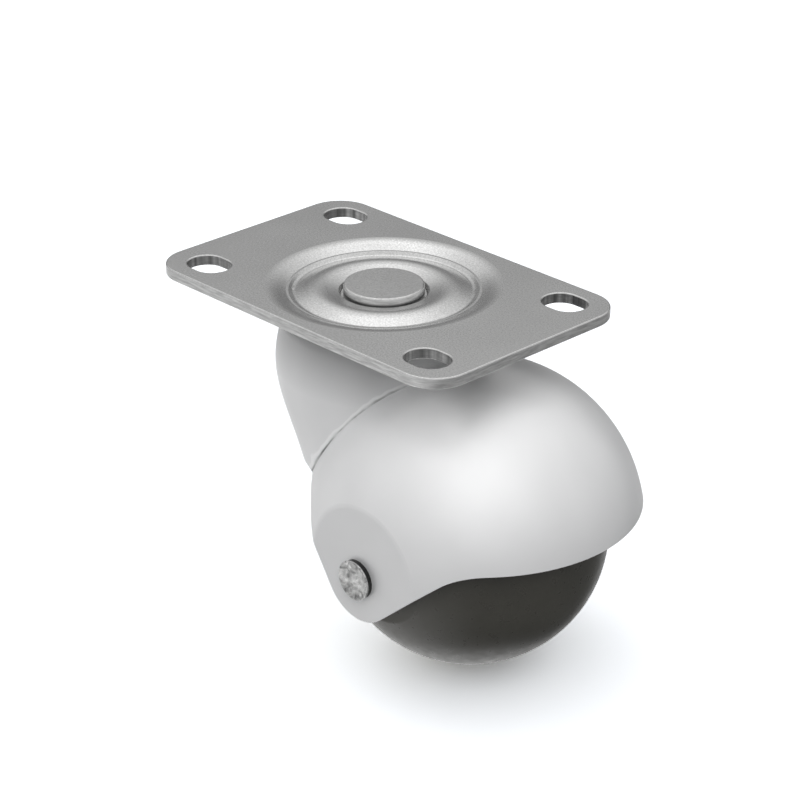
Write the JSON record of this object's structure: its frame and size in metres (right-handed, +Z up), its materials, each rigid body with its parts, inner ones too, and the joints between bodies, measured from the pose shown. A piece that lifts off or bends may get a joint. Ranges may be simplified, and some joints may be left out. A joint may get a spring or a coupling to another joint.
{
  "type": "plate castor",
  "caption": "Swivel plate castor with a slotted rectangular top plate and a chromed hood over a rubber ball wheel.",
  "frame": {"origin": "centre of the plate's top face, on the swivel axis", "axes": "+Z up out of the plate, +X along the plate's long side towards the trailing wheel, +Y along the axle"},
  "size_m": [0.1149, 0.074, 0.0834],
  "materials": {
    "plate_steel": "satin zinc plating, fine frosted grain",
    "pin_steel": "satin zinc plating",
    "race_steel": "hardened pressed steel, dull",
    "hood_chrome": "bright chrome plating on a drawn sheet",
    "axle_steel": "bright zinc, uneven where the ends are spread",
    "washer_steel": "zinc plated",
    "sleeve_steel": "drawn tube",
    "ball_steel": "hardened polished steel",
    "core_plastic": "moulded, dark",
    "tread_rubber": "smooth dark grey rubber, slightly glossy"
  },
  "bodies": {
    "plate": {"top_plate": "plate_steel", "kingpin": "pin_steel", "lower_race_cup": "race_steel"},
    "fork": {"hood": "hood_chrome", "axle": "axle_steel", "axle_washer_left": "washer_steel", "axle_washer_right": "washer_steel"},
    "wheel": {"tread": "tread_rubber", "wheel_core": "core_plastic", "axle_sleeve": "sleeve_steel"},
    "upper_balls": {"upper_ball_01": "ball_steel", "upper_ball_02": "ball_steel", "upper_ball_03": "ball_steel", "upper_ball_04": "ball_steel", "upper_ball_05": "ball_steel", "upper_ball_06": "ball_steel", "upper_ball_07": "ball_steel", "upper_ball_08": "ball_steel", "upper_ball_09": "ball_steel", "upper_ball_10": "ball_steel", "upper_ball_11": "ball_steel", "upper_ball_12": "ball_steel", "upper_ball_13": "ball_steel", "upper_ball_14": "ball_steel", "upper_ball_15": "ball_steel", "upper_ball_16": "ball_steel", "upper_ball_17": "ball_steel", "upper_ball_18": "ball_steel", "upper_ball_19": "ball_steel", "upper_ball_20": "ball_steel", "upper_ball_21": "ball_steel", "upper_ball_22": "ball_steel"},
    "lower_balls": {"lower_ball_01": "ball_steel", "lower_ball_02": "ball_steel", "lower_ball_03": "ball_steel", "lower_ball_04": "ball_steel", "lower_ball_05": "ball_steel", "lower_ball_06": "ball_steel", "lower_ball_07": "ball_steel", "lower_ball_08": "ball_steel", "lower_ball_09": "ball_steel", "lower_ball_10": "ball_steel", "lower_ball_11": "ball_steel", "lower_ball_12": "ball_steel", "lower_ball_13": "ball_steel", "lower_ball_14": "ball_steel", "lower_ball_15": "ball_steel"}
  },
  "joints": [
    {"name": "swivel", "type": "hinge", "parent": "plate", "child": "fork", "pos_m": [0, 0, 0], "axis": [0, 0, 1], "continuous": true},
    {"name": "wheel_spin", "type": "hinge", "parent": "fork", "child": "wheel", "pos_m": [0.0285, 0, -0.0517], "axis": [0, 1, 0], "continuous": true},
    {"name": "upper_balls_run", "type": "hinge", "parent": "plate", "child": "upper_balls", "pos_m": [0, 0, 0], "axis": [0, 0, 1], "continuous": true},
    {"name": "lower_balls_run", "type": "hinge", "parent": "plate", "child": "lower_balls", "pos_m": [0, 0, 0], "axis": [0, 0, 1], "continuous": true}
  ],
  "couplings": [
    {"joint": "upper_balls_run", "follows": "swivel", "ratio": 0.5},
    {"joint": "lower_balls_run", "follows": "swivel", "ratio": 0.5}
  ]
}
